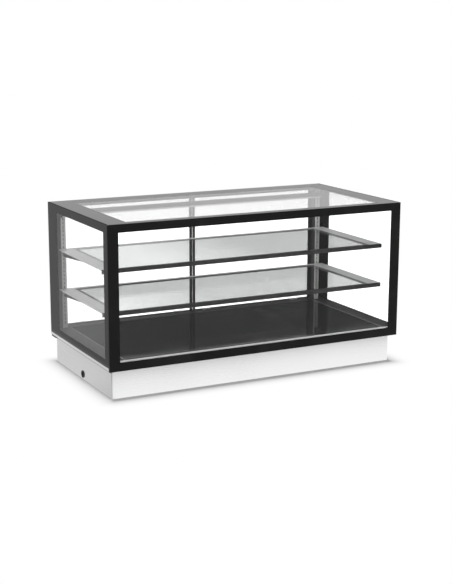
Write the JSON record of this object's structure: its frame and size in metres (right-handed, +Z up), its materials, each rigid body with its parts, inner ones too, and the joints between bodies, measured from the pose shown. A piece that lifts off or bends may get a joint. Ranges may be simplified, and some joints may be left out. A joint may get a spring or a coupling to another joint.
{
  "type": "drop-in heated display case",
  "caption": "Square glass heated display case with two inner shelves, rear sliding doors and a stainless base that drops through a counter.",
  "frame": {"origin": "centre of the case's footprint on the plane of the base's underside", "axes": "+Z up, +X to the customer's right along the front pane, +Y towards the doors at the rear"},
  "size_m": [1.219, 0.61, 0.636],
  "materials": {
    "stainless": "brushed",
    "pane_glass": "polished, black printed border",
    "shelf_glass": "polished",
    "deck_glass": "polished black",
    "black_sheet": "satin",
    "black_bar": "satin",
    "shelf_metal": "satin",
    "strip_metal": "brushed",
    "plated_steel": "zinc plated",
    "sealant": "smooth",
    "foam_tape": "matte",
    "black_rubber": "matte",
    "heater_rubber": "matte",
    "mineral_board": "fibrous",
    "light_board": "matte",
    "diffuser": "opal",
    "black_plastic": "fine grain",
    "display": "smoked",
    "switch_plastic": "smooth",
    "button_rubber": "matte",
    "terminal_plastic": "matte",
    "glide_plastic": "smooth"
  },
  "bodies": {
    "case": {"base_shell": "stainless", "base_floor": "stainless", "floor_screws": "plated_steel", "mounting_flange": "stainless", "flange_pads": "black_rubber", "cable_grommet": "black_rubber", "deck_frame": "stainless", "deck_cover_left": "black_sheet", "deck_cover_right": "black_sheet", "deck_glass": "deck_glass", "deck_heater": "heater_rubber", "heater_tray": "plated_steel", "insulation_board": "mineral_board", "deck_probe": "plated_steel", "overheat_cutout": "black_plastic", "front_pane": "pane_glass", "left_pane": "pane_glass", "right_pane": "pane_glass", "top_pane": "pane_glass", "corner_sealant": "sealant", "glazing_tape": "foam_tape", "rear_sill": "black_bar", "rear_header": "black_bar", "rear_post_left": "black_bar", "rear_post_right": "black_bar", "shelf_strip_left": "strip_metal", "shelf_strip_right": "strip_metal", "strip_screws": "plated_steel", "light_profile": "black_bar", "light_strip": "light_board", "light_diffuser": "diffuser", "light_end_caps": "black_plastic", "control_housing": "black_plastic", "control_fascia": "black_plastic", "panel_screws": "plated_steel", "display_module": "display", "terminal_block": "terminal_plastic", "lower_shelf_frame": "shelf_metal", "lower_shelf_glass": "shelf_glass", "lower_shelf_edge": "black_bar", "lower_bracket_left": "black_bar", "lower_bracket_right": "black_bar", "upper_shelf_frame": "shelf_metal", "upper_shelf_glass": "shelf_glass", "upper_shelf_edge": "black_bar", "upper_bracket_left": "black_bar", "upper_bracket_right": "black_bar"},
    "left_door": {"left_door_glass": "pane_glass", "left_door_outer_stile": "black_bar", "left_door_meeting_stile": "black_bar", "left_door_glides": "glide_plastic"},
    "right_door": {"right_door_glass": "pane_glass", "right_door_outer_stile": "black_bar", "right_door_meeting_stile": "black_bar", "right_door_glides": "glide_plastic"},
    "power_rocker": {"power_rocker": "switch_plastic"},
    "light_rocker": {"light_rocker": "switch_plastic"},
    "set_button": {"set_button": "button_rubber"},
    "down_button": {"down_button": "button_rubber"},
    "up_button": {"up_button": "button_rubber"}
  },
  "joints": [
    {"name": "left_door_slide", "type": "slide", "parent": "case", "child": "left_door", "axis": [1, 0, 0], "range_m": [0, 0.53]},
    {"name": "right_door_slide", "type": "slide", "parent": "case", "child": "right_door", "axis": [-1, 0, 0], "range_m": [0, 0.53]},
    {"name": "power_switch", "type": "hinge", "parent": "case", "child": "power_rocker", "pos_m": [0.502, 0.295, 0.058], "axis": [1, 0, 0], "range_deg": [0, 16]},
    {"name": "light_switch", "type": "hinge", "parent": "case", "child": "light_rocker", "pos_m": [0.48, 0.295, 0.058], "axis": [1, 0, 0], "range_deg": [0, 16]},
    {"name": "set_press", "type": "slide", "parent": "case", "child": "set_button", "axis": [0, -1, 0], "range_m": [0, 0.0012], "stiffness_N_per_m": 400},
    {"name": "down_press", "type": "slide", "parent": "case", "child": "down_button", "axis": [0, -1, 0], "range_m": [0, 0.0012], "stiffness_N_per_m": 400},
    {"name": "up_press", "type": "slide", "parent": "case", "child": "up_button", "axis": [0, -1, 0], "range_m": [0, 0.0012], "stiffness_N_per_m": 400}
  ]
}
